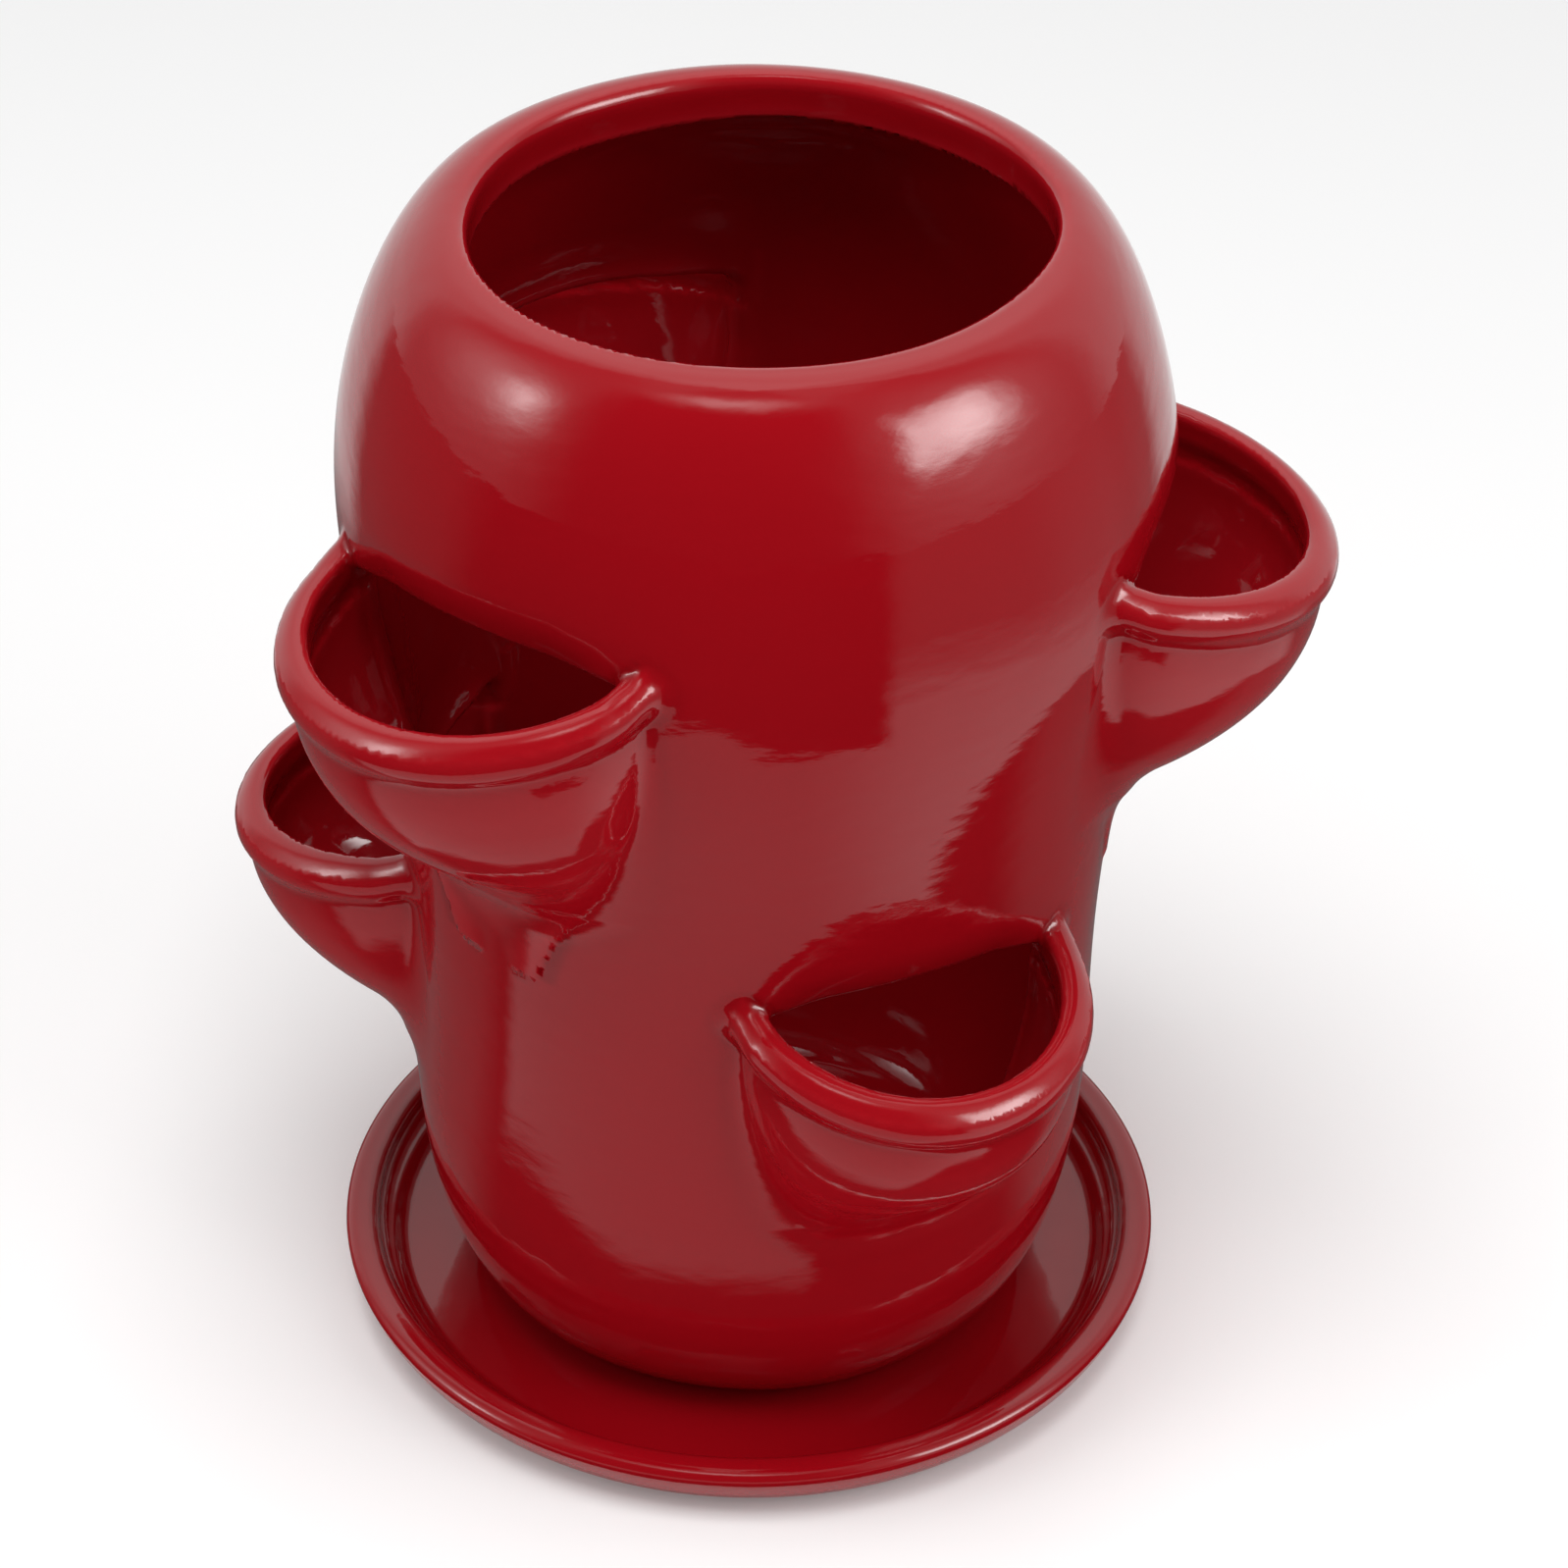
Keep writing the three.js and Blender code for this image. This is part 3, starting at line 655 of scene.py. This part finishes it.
# The floor shows the camera a little white of its own, so that it stays pale behind the shadow.
floor_white, tree, out = bare_material("floor_white")
paper = node(tree, "ShaderNodeBsdfDiffuse", Color=(FLOOR_WHITE, FLOOR_WHITE, FLOOR_WHITE, 1))
to_camera = node(tree, "ShaderNodeLightPath")
strength = node(tree, "ShaderNodeMath", operation="MULTIPLY")
strength.inputs[1].default_value = FLOOR_GLARE
glare = node(tree, "ShaderNodeEmission", Color=(1, 1, 1, 1))
both = node(tree, "ShaderNodeAddShader")
tree.links.new(to_camera.outputs["Is Camera Ray"], strength.inputs[0])
tree.links.new(strength.outputs[0], glare.inputs["Strength"])
tree.links.new(paper.outputs[0], both.inputs[0])
tree.links.new(glare.outputs[0], both.inputs[1])
tree.links.new(both.outputs[0], out.inputs["Surface"])
floor_mesh = bpy.data.meshes.new("floor")
half = FLOOR_SIZE / 2
floor_mesh.from_pydata([(-half, -half, 0), (half, -half, 0), (half, half, 0), (-half, half, 0)],
                       [], [(0, 1, 2, 3)])
floor_mesh.materials.append(floor_white)
floor = bpy.data.objects.new("floor", floor_mesh)
bpy.context.scene.collection.objects.link(floor)

# The room is white to the eye and in reflections, and fills in softly elsewhere.
world = bpy.data.worlds.new("studio")
world.use_nodes = True
bpy.context.scene.world = world
tree = world.node_tree
path = node(tree, "ShaderNodeLightPath")
seen = path.outputs["Is Camera Ray"]
for ray in ("Is Glossy Ray", "Is Transmission Ray"):
    either = node(tree, "ShaderNodeMath", operation="MAXIMUM")
    tree.links.new(seen, either.inputs[0])
    tree.links.new(path.outputs[ray], either.inputs[1])
    seen = either.outputs[0]
level = node(tree, "ShaderNodeMath", operation="MULTIPLY_ADD")
level.inputs[1].default_value = 1.0 - ROOM_FILL
level.inputs[2].default_value = ROOM_FILL
tree.links.new(seen, level.inputs[0])
room = tree.nodes["Background"]
room.inputs["Color"].default_value = (1, 1, 1, 1)
tree.links.new(level.outputs[0], room.inputs["Strength"])

# Each soft box faces the jar, and gives light without showing in the glaze; a painted
# highlight on the shell stands for it there.
for name, azimuth, elevation, side, watts in LAMPS:
    light = bpy.data.lights.new(name, "AREA")
    light.shape = "SQUARE"
    light.size, light.energy = side, watts
    lamp = bpy.data.objects.new(name, light)
    a, e = math.radians(azimuth), math.radians(elevation)
    aim = Vector((math.sin(a) * math.cos(e), -math.cos(a) * math.cos(e), math.sin(e)))
    lamp.location = aim * LAMP_DISTANCE + Vector((0, 0, SHELL_HEIGHT))
    lamp.rotation_euler = aim.to_track_quat("Z", "Y").to_euler()
    lamp.visible_glossy = False
    bpy.context.scene.collection.objects.link(lamp)

# Painted reflections for the glaze, glowing though no lamp: each soft box as a painted
# highlight that fades to its edges, the pale room behind, and the dark front where the camera
# stands.
painted_reflection, tree, out = bare_material("painted_reflection_room")
painted_reflection.cycles.emission_sampling = "NONE"
painted_glow = node(tree, "ShaderNodeEmission", Color=(1, 1, 1, 1))
painted_light_level = node(tree, "ShaderNodeAttribute", attribute_name="painted_brightness")
tree.links.new(painted_light_level.outputs["Fac"], painted_glow.inputs["Strength"])
tree.links.new(painted_glow.outputs[0], out.inputs["Surface"])


def painted_reflection_sheet(name, grid, painted_brightness):
    """A sheet of painted reflection over a grid of points, which glows only in reflections."""
    rows, columns = painted_brightness.shape
    faces = [(r * columns + c, r * columns + c + 1, (r + 1) * columns + c + 1,
              (r + 1) * columns + c) for r in range(rows - 1) for c in range(columns - 1)]
    sheet = smooth_object(name, grid.reshape(-1, 3), faces, painted_reflection, "painted_brightness", painted_brightness)
    sheet.visible_camera = sheet.visible_diffuse = sheet.visible_shadow = False
    sheet.visible_transmission = sheet.visible_volume_scatter = False


def painted_highlight_at(azimuth, elevation, peak, a0, e0, a_spread, e_spread):
    return peak * np.exp(-((azimuth - a0) / a_spread) ** 2 / 2
                         - ((elevation - e0) / e_spread) ** 2 / 2)


# The painted reflection shell by azimuth and elevation in degrees: a dark front, grey sides,
# the pale back, a paler sky over it, the ceiling, the right soft box as an even painted
# square, and the painted highlights.
azimuth, elevation = np.meshgrid(np.linspace(-180, 180, 241), np.linspace(-5, 90, 96))
painted_shell_light = (
    0.03
    + 0.27 * ramp(azimuth, 20, 45) + 0.27 * ramp(azimuth, -45, -75)
    + 0.60 * ramp(np.abs(azimuth + 6), 106, 122)
    + 0.50 * ramp(elevation, 28, 53) * ramp(np.abs(azimuth), 125, 150)
    + 0.25 * ramp(elevation, 68, 78)
    + 8.0 * ramp(azimuth, 40, 49) * ramp(azimuth, 88, 70)
    * ramp(elevation, 9, 23) * ramp(elevation, 47, 31)
    + sum(painted_highlight_at(azimuth, elevation, *at) for at in PAINTED_HIGHLIGHTS))
a, e = np.radians(azimuth), np.radians(elevation)
painted_reflection_sheet("painted_reflection_shell", np.stack([
    SHELL_RADIUS * np.sin(a) * np.cos(e), -SHELL_RADIUS * np.cos(a) * np.cos(e),
    SHELL_RADIUS * np.sin(e) + SHELL_HEIGHT], 2), painted_shell_light)

# The floor's painted reflection by azimuth in degrees and reach from the jar's axis: a painted
# lit patch in front and on the right, from the jar's painted shadow (inner) to the sheet's
# front edge (outer), and a pale back.
azimuth, reach = np.meshgrid(np.linspace(-180, 180, 361), np.concatenate([
    np.linspace(PAINTED_FLOOR_START, 0.65, 150), np.geomspace(0.66, SHELL_RADIUS, 30)]))
# Inner is where the jar's painted shadow on it ends, outer the front edge of the painted lit patch.
inner = (0.130 + 0.065 * ramp(azimuth, 12, 32) + 0.13 * np.clip((azimuth - 42) / 50, 0, 1)
         + 0.03 * ramp(azimuth, -25, -65))
outer = 0.380 - 0.06 * ramp(azimuth, -10, 8)
painted_lit_patch = 0.48 + 0.42 * ramp(azimuth, 10, 50) - 0.35 * ramp(azimuth, 62, 97)
painted_lit_patch *= ramp(reach, inner - 0.01, inner + 0.01)
painted_lit_patch *= ramp(azimuth, -74, -68) * ramp(azimuth, 110, 96)
towards_front = ramp(azimuth, 36, 31)
painted_lit_patch *= (towards_front * (1 - ramp(reach, outer, outer + 0.012))
          + (1 - towards_front) * (1 - 0.62 * ramp(reach, 0.38, 0.50)
                                   - 0.2 * ramp(reach, 0.5, 0.6)))
painted_floor_light = (
    0.02 + painted_lit_patch
    + 0.12 * ramp(np.abs(azimuth), 68, 88)
    + 0.12 * ramp(azimuth, 30, 40) * ramp(reach, 0.4, 0.5)
    + 0.70 * ramp(np.abs(azimuth), 120, 132) * ramp(reach, 0.35, 0.50))
a = np.radians(azimuth)
painted_reflection_sheet("painted_reflection_floor", np.stack([
    reach * np.sin(a), -reach * np.cos(a), np.full_like(a, PAINTED_FLOOR_LIFT)], 2),
    painted_floor_light)
